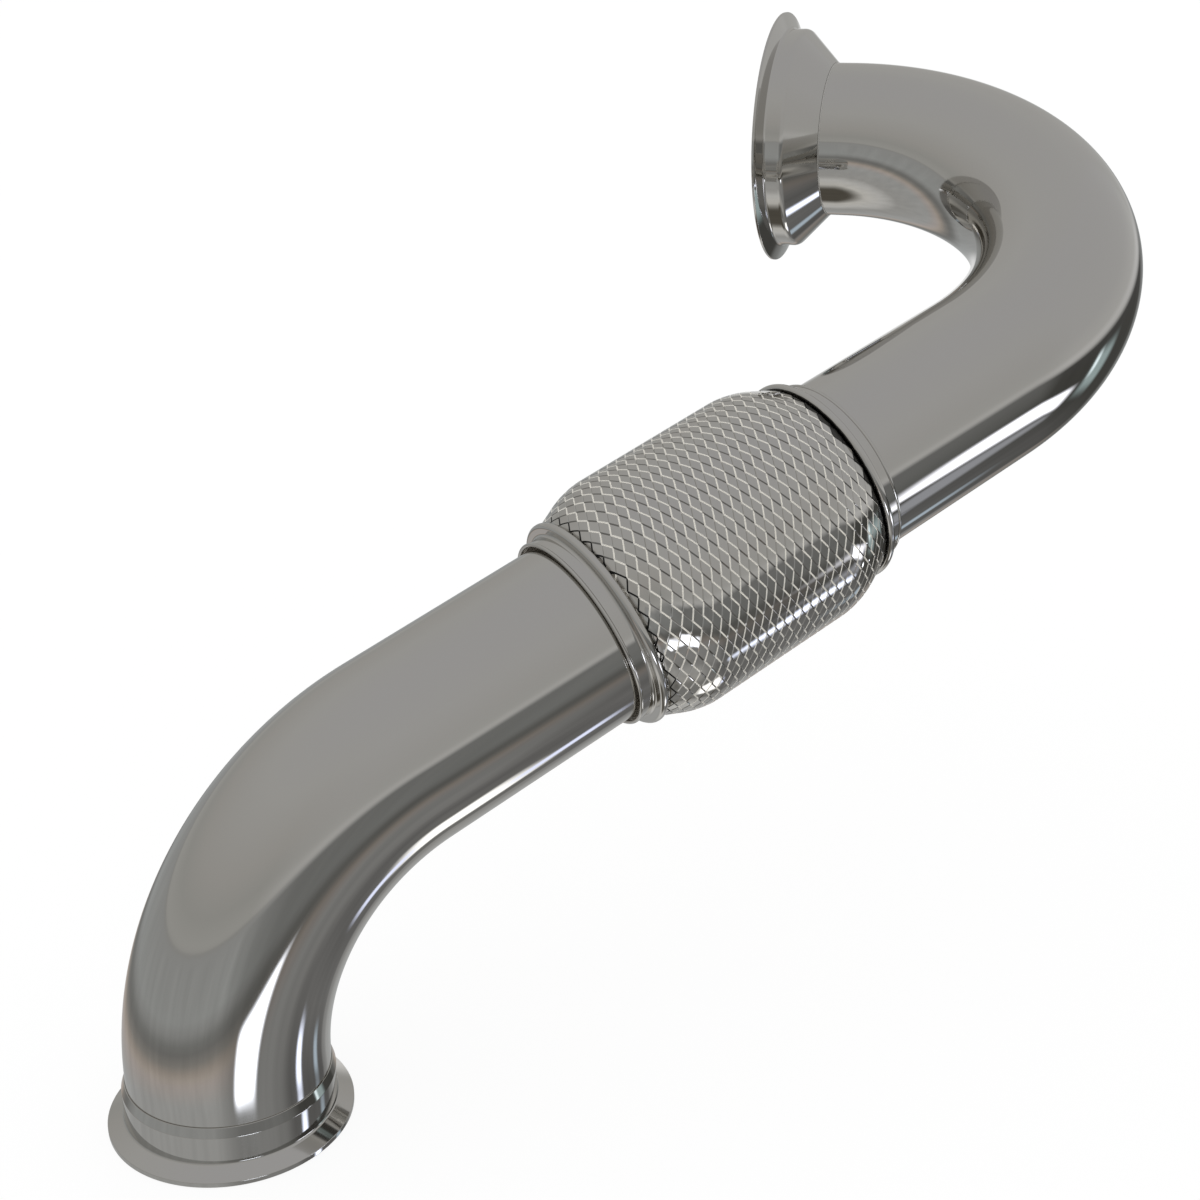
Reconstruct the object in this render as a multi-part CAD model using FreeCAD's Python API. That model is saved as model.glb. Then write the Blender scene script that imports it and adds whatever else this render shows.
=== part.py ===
import FreeCAD, Part
import math
import os

# Exhaust flex pipe: a bent polished tube with a small clamp flange below, a braided flexible
# joint in the middle of its long run, a wide return bend, and a large clamp flange on a reducer.
# Origin: centre of the lower flange's sealing face. +Z runs up the lower end's axis, and the
# long run climbs towards +X. All sizes are in millimetres, and angles in degrees.

vec = FreeCAD.Vector
up = vec(0, 0, 1)

# Tube
pipe_od = 101.6
pipe_wall = 1.65

# Route of the tube's centre line, from the lower sealing face to the upper one
lower_straight = 32.7
lower_bend_radius = 154.0
lower_bend_angle = 68.5
run_to_flex = 200.6
run_from_flex = 197.1
upper_bend_radius = 155.9
upper_bend_angle = 126.85
upper_bend_roll = 16.6
upper_straight = 48.3

# Lower flange, a weld-on clamp flange with a socket for the tube
lower_rim_reach = 10.26
lower_rim_edge = 2.6
lower_neck_wall = 2.1
lower_cone_height = 4.1
lower_neck_top = 21.6
lower_flange_height = 26.4
lower_tip_wall = 0.55
lower_seat_height = 6.0
lower_neck_round = 1.5
lower_taper_round = 1.0

# Upper flange, turned in one piece with its reducing cone
upper_rim_radius = 83.3
upper_rim_edge = 1.6
upper_neck_radius = 72.66
upper_back_height = 5.3
upper_shoulder_height = 16.5
upper_flange_height = 36.9
upper_wall = 2.0
upper_tip_wall = 0.5
upper_mouth_round = 0.5
upper_neck_round = 3.0
upper_shoulder_round = 5.5

# Welds
root_weld_width = 1.2
cone_weld_width = 1.0
cone_weld_crown = 0.3
collar_weld_width = 0.9
collar_weld_leg = 1.4

# Flexible joint: end collars. A reach is measured outwards from the tube's surface
flex_length = 176.4
collar_sheet = 1.2
collar_clamp_reach = 3.2
lip_roll_radius = 1.0
lip_gap = 1.8
bead_reach = 9.45
bead_wall_inset = 9.2
bead_width = 4.6
collar_fillet = 3.0

# Flexible joint: braid, bellows, inner rings and liner
braid_reach = 17.35
braid_wall = 1.65
braid_tail_wall = 1.1
braid_tail_length = 4.6
shoulder_setback = 41.5
first_fall_length = 10.5
first_fall = 2.3
second_fall_length = 11.1
second_fall = 5.05
weave_depth = 0.5
tiles_around = 20
tile_rows = 30
layer_setback = 4.2
bellows_sheet = 0.6
convolutions = 13
bellows_pitch = 11.6
inner_ring_length = 9.0
liner_wall = 0.8
liner_turns = 16
liner_ridge = 0.5
liner_groove = 0.3
liner_ridge_width = 3.0
liner_groove_width = 1.0

# Clearances and small edge rounds
fit_gap = 0.1
seat_gap = 0.25
edge_round = 0.4
sheet_edge_round = 0.3
tip_round = 0.15
arc_slack = 0.05

pipe_r = pipe_od / 2
bore_r = pipe_r - pipe_wall
flex_half = flex_length / 2
collar_clamp_radius = pipe_r + collar_clamp_reach
bead_radius = pipe_r + bead_reach
braid_radius = pipe_r + braid_reach


def rotated(vector, axis, angle):
    """The vector turned about the axis by an angle in degrees."""
    return FreeCAD.Rotation(axis, angle).multVec(vector)


def swung(spot, centre, axis, angle):
    """The spot carried round a bend's centre by an angle in degrees."""
    return centre + rotated(spot - centre, axis, angle)


# The centre line: each station has a place and a direction
lower_bend_start = up * lower_straight
lower_bend_centre = lower_bend_start + vec(lower_bend_radius, 0, 0)
turn_axis = vec(0, 1, 0)
run_dir = rotated(up, turn_axis, lower_bend_angle)
lower_bend_end = swung(lower_bend_start, lower_bend_centre, turn_axis, lower_bend_angle)
flex_centre = lower_bend_end + run_dir * run_to_flex
upper_bend_start = flex_centre + run_dir * run_from_flex
upper_bend_side = rotated(turn_axis, run_dir, upper_bend_roll)
upper_bend_centre = upper_bend_start + upper_bend_side * upper_bend_radius
upper_turn_axis = run_dir.cross(upper_bend_side)
upper_dir = rotated(run_dir, upper_turn_axis, upper_bend_angle)
upper_bend_end = swung(upper_bend_start, upper_bend_centre, upper_turn_axis, upper_bend_angle)
upper_face = upper_bend_end + upper_dir * upper_straight


def rounded_outline(corners):
    """A closed wire in the XZ plane through corners (radius, height, round), with tangent arcs."""
    count = len(corners)
    spots = [vec(corner[0], 0, corner[1]) for corner in corners]
    ends = []
    for i in range(count):
        before, here, after = spots[i - 1], spots[i], spots[(i + 1) % count]
        wanted = corners[i][2] if len(corners[i]) > 2 else 0
        to_before = (before - here).normalize()
        to_after = (after - here).normalize()
        half_angle = to_before.getAngle(to_after) / 2
        room = 0.49 * min((before - here).Length, (after - here).Length)
        setback = min(wanted / math.tan(half_angle), room) if wanted else 0
        if setback < 0.01:
            ends.append((here, None, here))
            continue
        radius = setback * math.tan(half_angle)
        inward = (to_before + to_after).normalize()
        middle = here + inward * (radius / math.sin(half_angle) - radius)
        ends.append((here + to_before * setback, middle, here + to_after * setback))
    edges = []
    for i in range(count):
        start, middle, end = ends[i]
        if middle:
            edges.append(Part.Arc(start, middle, end).toShape())
        edges.append(Part.makeLine(end, ends[(i + 1) % count][0]))
    return Part.Wire(edges)


def set_on(shape, origin, axis):
    """The shape moved so that its own Z axis runs from the origin along the axis."""
    shape.Placement = FreeCAD.Placement(origin, FreeCAD.Rotation(up, axis))
    return shape


def turned(corners, origin, axis):
    """A solid turned about the axis from an outline of (radius, height, round) corners."""
    face = Part.Face(rounded_outline(corners))
    return set_on(face.revolve(vec(0, 0, 0), up, 360), origin, axis)


def tube_face(centre, direction):
    """The tube's ring-shaped section, square to the direction."""
    outer = Part.Face(Part.Wire(Part.makeCircle(pipe_r, centre, direction)))
    inner = Part.Face(Part.Wire(Part.makeCircle(bore_r, centre, direction)))
    return outer.cut(inner).Faces[0]


def bent_tube(start, bend_start, bend_centre, axis, angle, first_dir, last_dir, end):
    """Straight, bend and straight of one mandrel-bent tube, joined into one solid."""
    first = tube_face(start, first_dir).extrude(bend_start - start)
    bend = tube_face(bend_start, first_dir).revolve(bend_centre, axis, angle)
    bend_end = swung(bend_start, bend_centre, axis, angle)
    last = tube_face(bend_end, last_dir).extrude(end - bend_end)
    return first.fuse([bend, last]).Solids[0]


# Lower end
lower_neck_r = pipe_r + lower_neck_wall
lower_rim_r = pipe_r + lower_rim_reach
lower_pipe_start = up * (lower_seat_height + root_weld_width)


def lower_flange():
    """Thin clamp rim, coned back, straight neck and a taper that feathers out on the tube."""
    socket_r = pipe_r + fit_gap
    return turned([
        (bore_r, 0, 0),
        (lower_rim_r, 0, edge_round),
        (lower_rim_r, lower_rim_edge, edge_round),
        (lower_neck_r, lower_rim_edge + lower_cone_height, lower_neck_round),
        (lower_neck_r, lower_neck_top, lower_taper_round),
        (pipe_r + lower_tip_wall, lower_flange_height, tip_round),
        (socket_r, lower_flange_height, 0),
        (socket_r, lower_seat_height, 0),
        (bore_r, lower_seat_height, 0),
    ], vec(0, 0, 0), up)


def lower_flange_weld():
    """Root weld between the socket's step and the end of the tube."""
    return turned([
        (bore_r, lower_seat_height),
        (pipe_r, lower_seat_height),
        (pipe_r, lower_seat_height + root_weld_width),
        (bore_r, lower_seat_height + root_weld_width),
    ], vec(0, 0, 0), up)


# Upper end, measured from the sealing face back along the tube
upper_back = upper_dir * -1
cone_length = upper_flange_height - upper_shoulder_height
cone_fall = (upper_neck_radius - pipe_r - upper_tip_wall) / cone_length
upper_pipe_end = upper_face + upper_back * (upper_flange_height + cone_weld_width)


def upper_flange():
    """Clamp rim, short neck, rounded shoulder and a straight cone down to the tube."""
    inner_shift = upper_wall * math.hypot(1, cone_fall)
    inner_neck_r = upper_neck_radius - upper_wall
    inner_shoulder = upper_shoulder_height + (upper_wall - inner_shift) / cone_fall
    inner_end = upper_flange_height - (bore_r - (pipe_r + upper_tip_wall - inner_shift)) / cone_fall
    return turned([
        (inner_neck_r, 0, upper_mouth_round),
        (upper_rim_radius, 0, edge_round),
        (upper_rim_radius, upper_rim_edge, edge_round),
        (upper_neck_radius, upper_rim_edge + upper_back_height, upper_neck_round),
        (upper_neck_radius, upper_shoulder_height, upper_shoulder_round),
        (pipe_r + upper_tip_wall, upper_flange_height, tip_round),
        (bore_r, upper_flange_height, 0),
        (bore_r, inner_end, 0),
        (inner_neck_r, inner_shoulder, upper_shoulder_round - upper_wall),
    ], upper_face, upper_back)


def upper_flange_weld():
    """Narrow butt weld between the cone's small end and the tube, with a low crown."""
    weld_end = upper_flange_height + cone_weld_width
    return turned([
        (bore_r, upper_flange_height, 0),
        (pipe_r + cone_weld_crown, upper_flange_height, cone_weld_crown),
        (pipe_r + cone_weld_crown, weld_end, cone_weld_crown),
        (bore_r, weld_end, 0),
    ], upper_face, upper_back)


# Layers under the collars, from the bore outwards: inner ring, bellows cuff, braid tail
cuff_r = pipe_r + fit_gap
tail_inner_r = cuff_r + bellows_sheet + fit_gap
tail_outer_r = tail_inner_r + braid_tail_wall
collar_inner_r = collar_clamp_radius - collar_sheet
layer_end = flex_half - layer_setback
flex_pipe_end = layer_end + collar_weld_width


# The braid's outline, as (distance from the middle, radius)
barrel_half = flex_half - shoulder_setback
fall_1 = barrel_half + first_fall_length
fall_2 = fall_1 + second_fall_length
tail_start = layer_end - braid_tail_length
braid_outer = [
    (0, braid_radius),
    (barrel_half, braid_radius),
    (fall_1, braid_radius - first_fall),
    (fall_2, braid_radius - first_fall - second_fall),
    (tail_start, tail_outer_r),
    (layer_end, tail_outer_r),
]
braid_inner = [(u, r - braid_wall) for u, r in braid_outer[:4]] + [
    (tail_start, tail_inner_r),
    (layer_end, tail_inner_r),
]


def radius_at(outline, distance):
    """The outline's radius at a distance from the middle, along straight lines."""
    distance = abs(distance)
    for (u0, r0), (u1, r1) in zip(outline, outline[1:]):
        if distance <= u1:
            return r0 + (r1 - r0) * (distance - u0) / (u1 - u0)
    return outline[-1][1]


bead_outer_u = flex_half - bead_wall_inset
mouth_u = bead_outer_u - bead_width
weave_half = mouth_u + collar_sheet / 2


def collar(side):
    """Spun end collar: rolled lip, clamping band and a full bead whose mouth holds the braid."""
    crest = bead_width / 2 - arc_slack
    inner_crest = crest - collar_sheet
    mouth_r = radius_at(braid_outer, mouth_u) + seat_gap
    bead_inner_r = bead_radius - collar_sheet
    roll_u = flex_half - lip_roll_radius
    roll_r = pipe_r + lip_gap + lip_roll_radius
    sheet = turned([
        (collar_clamp_radius, roll_u, 0),
        (collar_clamp_radius, bead_outer_u, collar_fillet),
        (bead_radius, bead_outer_u, crest),
        (bead_radius, mouth_u, crest),
        (mouth_r, mouth_u, sheet_edge_round),
        (mouth_r, mouth_u + collar_sheet, sheet_edge_round),
        (bead_inner_r, mouth_u + collar_sheet, inner_crest),
        (bead_inner_r, bead_outer_u - collar_sheet, inner_crest),
        (collar_inner_r, bead_outer_u - collar_sheet, collar_fillet + collar_sheet),
        (collar_inner_r, roll_u, 0),
    ], vec(0, 0, 0), up)
    roll = Part.makeTorus(roll_r, lip_roll_radius, vec(0, 0, roll_u), up)
    return set_on(sheet.fuse(roll).Solids[0], flex_centre, run_dir * side)


def collar_weld(side):
    """Weld in the collar's mouth that joins the tube to the ring, cuff, braid and collar."""
    outer_r = collar_inner_r - fit_gap
    foot_r = min(pipe_r + collar_weld_leg, outer_r)
    return turned([
        (bore_r, layer_end),
        (outer_r, layer_end),
        (outer_r, flex_pipe_end),
        (foot_r, flex_pipe_end),
        (pipe_r + fit_gap / 2, flex_pipe_end + collar_weld_leg),
        (pipe_r + fit_gap / 2, flex_pipe_end),
        (bore_r, flex_pipe_end),
    ], flex_centre, run_dir * side)


def inner_ring(side):
    """Short ring inside the bellows cuff, which backs the pressed layers."""
    return turned([
        (bore_r, layer_end - inner_ring_length),
        (pipe_r, layer_end - inner_ring_length),
        (pipe_r, layer_end),
        (bore_r, layer_end),
    ], flex_centre, run_dir * side)


def bellows():
    """Convoluted gas-tight tube. Its crests follow the inside of the braid."""
    quarter = bellows_pitch / 4
    half_sheet = bellows_sheet / 2
    root_r = cuff_r + half_sheet
    crests = []
    for i in range(convolutions):
        u = (i - (convolutions - 1) / 2) * bellows_pitch
        widest = abs(u) + quarter + half_sheet
        crests.append((u, radius_at(braid_inner, widest) - seat_gap - half_sheet))

    def skin(offset):
        """One side of the sheet, as corners from the lower cuff to the upper cuff."""
        half_crest = quarter + offset
        half_root = quarter - offset
        corners = [(root_r + offset, -layer_end, 0)]
        for u, crest_r in crests:
            corners.append((root_r + offset, u - half_crest, half_root - arc_slack))
            corners.append((crest_r + offset, u - half_crest, half_crest - arc_slack))
            corners.append((crest_r + offset, u + half_crest, half_crest - arc_slack))
            corners.append((root_r + offset, u + half_crest, half_root - arc_slack))
        corners.append((root_r + offset, layer_end, 0))
        return corners

    return turned(skin(half_sheet) + skin(-half_sheet)[::-1], flex_centre, run_dir)


def liner():
    """Strip-wound inner liner: locked ridges outside, narrow seams inside."""
    half = layer_end - inner_ring_length - seat_gap
    outer_r = bore_r + liner_wall
    pitch = 2 * half / liner_turns
    middles = [-half + pitch * (i + 0.5) for i in range(liner_turns)]
    outside = [(outer_r, -half)]
    inside = [(bore_r, -half)]
    for u in middles:
        outside.append((outer_r, u - liner_ridge_width / 2))
        outside.append((outer_r + liner_ridge, u - liner_ridge_width / 2))
        outside.append((outer_r + liner_ridge, u + liner_ridge_width / 2))
        outside.append((outer_r, u + liner_ridge_width / 2))
        inside.append((bore_r, u - liner_groove_width / 2))
        inside.append((bore_r + liner_groove, u - liner_groove_width / 2))
        inside.append((bore_r + liner_groove, u + liner_groove_width / 2))
        inside.append((bore_r, u + liner_groove_width / 2))
    outside.append((outer_r, half))
    inside.append((bore_r, half))
    return turned(outside + inside[::-1], flex_centre, run_dir)


def triangle(a, b, c):
    """A flat face with three corners."""
    return Part.Face(Part.makePolygon([a, b, c, a]))


def woven_body():
    """The barrel as a closed skin of low four-sided tiles, set in offset rows as in a weave."""
    row_pitch = 2 * weave_half / tile_rows
    step = 2 * math.pi / tiles_around

    def spot(row, place, sink):
        """A point on a row, where place counts tiles round the barrel."""
        u = -weave_half + row * row_pitch
        r = radius_at(braid_outer, u) - sink
        angle = (place + 0.5 * (row % 2)) * step
        return vec(r * math.cos(angle), r * math.sin(angle), u)

    corner = [[spot(j, i, weave_depth) for i in range(tiles_around)] for j in range(tile_rows + 1)]
    faces = []
    for j in range(tile_rows + 1):
        for i in range(tiles_around):
            left, right = corner[j][i], corner[j][(i + 1) % tiles_around]
            beside = (i + j % 2) % tiles_around
            if j == 0:
                faces.append(triangle(left, corner[1][beside], right))
            elif j == tile_rows:
                faces.append(triangle(left, corner[j - 1][beside], right))
            else:
                crown = spot(j, i + 0.5, 0)
                below, above = corner[j - 1][beside], corner[j + 1][beside]
                around = [left, below, right, above]
                for k in range(4):
                    faces.append(triangle(around[k], around[(k + 1) % 4], crown))
    for ring in (corner[0], corner[tile_rows]):
        faces.append(Part.Face(Part.makePolygon(ring + ring[:1])))
    body = Part.Solid(Part.Shell(faces))
    if body.Volume < 0:
        body.reverse()
    return body


def braid():
    """Woven barrel with smooth tails that run in under the collars."""
    mouth_r = radius_at(braid_outer, weave_half)
    origin = vec(0, 0, 0)
    tails = [turned([
        (0, weave_half),
        (mouth_r, weave_half),
        (tail_outer_r, tail_start),
        (tail_outer_r, layer_end),
        (0, layer_end),
    ], origin, up * side) for side in (-1, 1)]
    half_core = [(r, u) for u, r in braid_inner]
    core = [(0, -layer_end)] + [(r, -u) for r, u in half_core[:0:-1]] + half_core[1:] + [(0, layer_end)]
    shape = woven_body().fuse(tails).cut(turned(core, origin, up))
    return set_on(shape.Solids[0], flex_centre, run_dir)


flex_lower_end = flex_centre - run_dir * flex_pipe_end
flex_upper_end = flex_centre + run_dir * flex_pipe_end

parts = {
    "lower_flange": lower_flange(),
    "lower_flange_weld": lower_flange_weld(),
    "lower_pipe": bent_tube(lower_pipe_start, lower_bend_start, lower_bend_centre, turn_axis,
                            lower_bend_angle, up, run_dir, flex_lower_end),
    "lower_collar_weld": collar_weld(-1),
    "lower_collar": collar(-1),
    "lower_inner_ring": inner_ring(-1),
    "liner": liner(),
    "bellows": bellows(),
    "braid": braid(),
    "upper_inner_ring": inner_ring(1),
    "upper_collar": collar(1),
    "upper_collar_weld": collar_weld(1),
    "upper_pipe": bent_tube(flex_upper_end, upper_bend_start, upper_bend_centre, upper_turn_axis,
                            upper_bend_angle, run_dir, upper_dir, upper_pipe_end),
    "upper_flange_weld": upper_flange_weld(),
    "upper_flange": upper_flange(),
}

os.makedirs("parts", exist_ok=True)
for name, shape in parts.items():
    shape.exportStep("parts/" + name + ".step")
    print(name, "solids", len(shape.Solids), "valid", shape.isValid(), "volume", round(shape.Volume, 1))
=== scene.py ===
import bpy
import numpy as np
from mathutils import Matrix


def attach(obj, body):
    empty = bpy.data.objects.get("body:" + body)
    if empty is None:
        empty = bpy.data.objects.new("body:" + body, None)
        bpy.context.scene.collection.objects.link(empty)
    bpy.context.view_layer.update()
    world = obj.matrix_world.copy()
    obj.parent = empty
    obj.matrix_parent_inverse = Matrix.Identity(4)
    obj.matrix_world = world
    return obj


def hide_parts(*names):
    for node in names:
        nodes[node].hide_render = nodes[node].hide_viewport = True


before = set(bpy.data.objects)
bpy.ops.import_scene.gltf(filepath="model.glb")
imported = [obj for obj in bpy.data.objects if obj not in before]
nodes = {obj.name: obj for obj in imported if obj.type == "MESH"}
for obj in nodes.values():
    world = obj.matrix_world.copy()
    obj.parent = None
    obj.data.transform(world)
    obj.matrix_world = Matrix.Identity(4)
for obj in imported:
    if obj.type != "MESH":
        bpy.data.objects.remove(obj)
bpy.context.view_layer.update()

print("frame loaded:", len(nodes), "CAD pieces")

# Route of the tube in millimetres, as the real one is bent
route = {
    "tubeDiameter": 101.6, "tubeWall": 1.65,
    "lowerStraight": 32.7, "lowerBendRadius": 154.0, "lowerBendAngle": 68.5,
    "runToFlex": 200.6, "runFromFlex": 197.1,
    "upperBendRadius": 155.9, "upperBendAngle": 126.85, "upperBendRoll": 16.6, "upperStraight": 48.3,
}


def hexColour(code):
    # sRGB hex to linear: below 0.04045 a straight part, above it a power of 2.4
    value = np.array([int(code[i:i + 2], 16) for i in (1, 3, 5)]) / 255
    linear = np.where(value <= 0.04045, value / 12.92, ((value + 0.055) / 1.055) ** 2.4)
    return (*linear.tolist(), 1.0)


def addNode(tree, kind, settings=None, inputs=None):
    # one node with its settings, and each input either a link from a socket or a plain value
    node = tree.nodes.new(kind)
    for key, value in (settings or {}).items():
        setattr(node, key, value)
    for key, value in (inputs or {}).items():
        socket = node.inputs[key]
        if isinstance(value, bpy.types.NodeSocket):
            tree.links.new(value, socket)
        else:
            socket.default_value = value
    return node


def newMaterial(name):
    material = bpy.data.materials.new(name)
    material.use_nodes = True
    tree = material.node_tree
    tree.nodes.clear()
    return material, tree, addNode(tree, "ShaderNodeOutputMaterial")


def turnAbout(vector, axis, degrees):
    # Rodrigues: the part along the axis stays, the rest turns in its plane
    vector, axis = np.asarray(vector, float), np.asarray(axis, float)
    axis = axis / np.linalg.norm(axis)
    angle = np.radians(degrees)
    return (vector * np.cos(angle) + np.cross(axis, vector) * np.sin(angle)
            + axis * (axis @ vector) * (1 - np.cos(angle)))


# Stations of the centre line, each worked out from the one before
tubeRadius = route["tubeDiameter"] / 2
boreRadius = tubeRadius - route["tubeWall"]
up = np.array([0.0, 0.0, 1.0])
lowerAxis = np.array([0.0, 1.0, 0.0])
lowerBendStart = up * route["lowerStraight"]
lowerBendCentre = lowerBendStart + np.array([route["lowerBendRadius"], 0, 0])
runDir = turnAbout(up, lowerAxis, route["lowerBendAngle"])
lowerBendEnd = lowerBendCentre + turnAbout(
    lowerBendStart - lowerBendCentre, lowerAxis, route["lowerBendAngle"])
flexCentre = lowerBendEnd + runDir * route["runToFlex"]
upperBendStart = flexCentre + runDir * route["runFromFlex"]
upperSide = turnAbout(lowerAxis, runDir, route["upperBendRoll"])
upperBendCentre = upperBendStart + upperSide * route["upperBendRadius"]
upperAxis = np.cross(runDir, upperSide)
upperDir = turnAbout(runDir, upperAxis, route["upperBendAngle"])
upperBendEnd = upperBendCentre + turnAbout(
    upperBendStart - upperBendCentre, upperAxis, route["upperBendAngle"])
upperFace = upperBendEnd + upperDir * route["upperStraight"]


def addPiece(name, points, faces, materials, stands, faceMaterial=None, coords=None, sharpAngle=28):
    # arrays in millimetres become one smooth mesh in metres; the volume is the sum of the triple products of
    # the faces' corners, and where it is negative the faces are turned outwards
    mesh = bpy.data.meshes.new(name)
    corner = points[faces]
    volume = np.einsum("ij,ij->i", corner[:, 0], np.cross(corner[:, 1], corner[:, 2])).sum()
    volume += np.einsum("ij,ij->i", corner[:, 0], np.cross(corner[:, 2], corner[:, 3])).sum()
    if volume < 0:
        faces = faces[:, ::-1]
    mesh.from_pydata((points * 0.001).tolist(), [], faces.tolist())
    for material in materials:
        mesh.materials.append(material)
    if faceMaterial is not None:
        mesh.polygons.foreach_set("material_index", faceMaterial.astype(np.int32))
    if coords is not None:
        mesh.attributes.new("tubeCoord", "FLOAT_VECTOR", "POINT").data.foreach_set("vector", coords.ravel())
    mesh.polygons.foreach_set("use_smooth", np.ones(len(faces), bool))
    mesh.set_sharp_from_angle(angle=np.radians(sharpAngle))
    mesh.update()
    piece = bpy.data.objects.new(name, mesh)
    bpy.context.scene.collection.objects.link(piece)
    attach(piece, "root")
    if stands:
        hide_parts(*stands)
    print("made", name, "with", len(faces) * 2, "triangles")
    return piece


def gridFaces(rows, columns):
    # four-sided faces of a grid that closes on itself both ways
    i, j = np.meshgrid(np.arange(rows), np.arange(columns), indexing="ij")
    nextRow, nextColumn = (i + 1) % rows, (j + 1) % columns
    quads = [i * columns + j, nextRow * columns + j, nextRow * columns + nextColumn, i * columns + nextColumn]
    return np.stack(quads, -1).reshape(-1, 4)


outlineRules = {
    "arcSteps": 9,
    "sideShare": 0.49,      # a round takes less than half of the side next to it
    "leastRound": 0.01,     # mm, and what is smaller stays a sharp corner
    "flatMargin": 0.12,     # mm from the end of a long side to the point that keeps its face flat
}


def roundedOutline(corners):
    # corners (radius, height, round); each rounded one becomes a tangent arc, whose centre lies on the bisector
    # at the arc's radius divided by the sine of half the corner's angle
    corners = [tuple(corner) + (0,) * (3 - len(corner)) for corner in corners]
    spots = np.array([corner[:2] for corner in corners], float)
    outline = []
    for i, (_, _, wanted) in enumerate(corners):
        here, before, after = spots[i], spots[i - 1], spots[(i + 1) % len(spots)]
        back, ahead = before - here, after - here
        spare = outlineRules["sideShare"] * min(np.linalg.norm(back), np.linalg.norm(ahead))
        back, ahead = back / np.linalg.norm(back), ahead / np.linalg.norm(ahead)
        half = np.arccos(np.clip(back @ ahead, -1, 1)) / 2
        setback = min(wanted / np.tan(half), spare) if wanted else 0
        if setback < outlineRules["leastRound"]:
            outline.append(here[None])
            continue
        radius = setback * np.tan(half)
        inward = (back + ahead) / np.linalg.norm(back + ahead)
        centre = here + inward * radius / np.sin(half)
        first, last = here + back * setback - centre, here + ahead * setback - centre
        sweep = np.arctan2(first[0] * last[1] - first[1] * last[0], first @ last)
        sweep = sweep * np.linspace(0, 1, outlineRules["arcSteps"])
        arc = np.stack([first[0] * np.cos(sweep) - first[1] * np.sin(sweep),
                        first[0] * np.sin(sweep) + first[1] * np.cos(sweep)], -1)
        outline.append(centre + arc)
    outline = np.concatenate(outline)
    # two more points near the ends of each long straight side, so that a flat face shades as flat to its ends
    margin, filled = outlineRules["flatMargin"], []
    for here, ahead in zip(outline, np.roll(outline, -1, axis=0)):
        span = np.linalg.norm(ahead - here)
        filled.append(here)
        if span > 6 * margin:
            filled += [here + (ahead - here) * margin / span, ahead - (ahead - here) * margin / span]
    return np.array(filled)


def sideways(axis):
    # two directions square to the axis and to each other
    first = np.cross(axis, lowerAxis if abs(axis[1]) < 0.9 else up)
    first = first / np.linalg.norm(first)
    return first, np.cross(axis, first)


turnedSegments = 288


def turnedGrid(outline, origin, axis, segments=turnedSegments):
    # every outline point (radius, height) is carried round the axis in a full circle; the coordinates for the
    # polish are the cosine and sine of the turn and the height in metres
    angle = np.arange(segments) * 2 * np.pi / segments
    first, second = sideways(axis)
    radial = np.cos(angle)[:, None] * first + np.sin(angle)[:, None] * second
    points = origin + outline[:, 1, None, None] * axis + outline[:, 0, None, None] * radial[None]
    along = outline[:, 1, None] / 1000
    coords = np.stack(np.broadcast_arrays(np.cos(angle)[None], np.sin(angle)[None], along), -1)
    return points.reshape(-1, 3), gridFaces(len(outline), segments), coords.reshape(-1, 3)


def turnedPiece(name, corners, origin, axis, material, stands):
    # one outline with its rounds, turned about the axis
    points, faces, coords = turnedGrid(roundedOutline(corners), origin, axis)
    return addPiece(name, points, faces, [material], stands, coords=coords)


# Materials

polish = {
    "colour": "#C9C7C3",        # stainless steel, a faintly warm white metal
    "roughness": 0.05,          # buffed to a mirror
    "roughSpan": (0.7, 1.5),    # shares of it in the clearest and the dullest clouds
    "lineSpacing": 0.9,         # mm between buffing lines, drawn coarse enough to show
    "lineStretch": 1.5,         # noise cells in one radius across the tube, so that the lines run round it
    "lineDepth": 0.004,         # mm
    "lineStrength": 0.05,
    "cloudSize": 60.0,          # mm, faint clouds where the wheel dwelt
}
grain = {"depth": 0.02, "strength": 0.15, "roughSpan": (0.8, 1.2)}     # of rolled and drawn steel, depth in mm
noiseSpan = {"From Min": 0.3, "From Max": 0.7}      # where nearly all of a noise pattern's values lie


def polishedStainless(name):
    # 304 stainless tube, bent and then buffed: a clear mirror with very faint lines round the tube
    material, tree, output = newMaterial(name)
    coord = addNode(tree, "ShaderNodeAttribute", {"attribute_name": "tubeCoord"})
    lines = addNode(tree, "ShaderNodeMapping", None, {
        "Vector": coord.outputs["Vector"],
        "Scale": (polish["lineStretch"], polish["lineStretch"], 1000 / polish["lineSpacing"])})
    lineNoise = addNode(tree, "ShaderNodeTexNoise", None, {
        "Vector": lines.outputs["Vector"], "Scale": 1.0, "Detail": 2.0})
    place = addNode(tree, "ShaderNodeTexCoord")
    clouds = addNode(tree, "ShaderNodeTexNoise", None, {
        "Vector": place.outputs["Object"], "Scale": 1000 / polish["cloudSize"], "Detail": 3.0})
    sheen = addNode(tree, "ShaderNodeMapRange", None, {
        "Value": clouds.outputs["Fac"], **noiseSpan,
        "To Min": polish["roughness"] * polish["roughSpan"][0],
        "To Max": polish["roughness"] * polish["roughSpan"][1]})
    bump = addNode(tree, "ShaderNodeBump", None, {
        "Height": lineNoise.outputs["Fac"], "Strength": polish["lineStrength"],
        "Distance": polish["lineDepth"] * 0.001})
    shader = addNode(tree, "ShaderNodeBsdfPrincipled", None, {
        "Base Color": hexColour(polish["colour"]), "Metallic": 1.0,
        "Roughness": sheen.outputs["Result"], "Normal": bump.outputs["Normal"]})
    tree.links.new(shader.outputs["BSDF"], output.inputs["Surface"])
    return material


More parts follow.
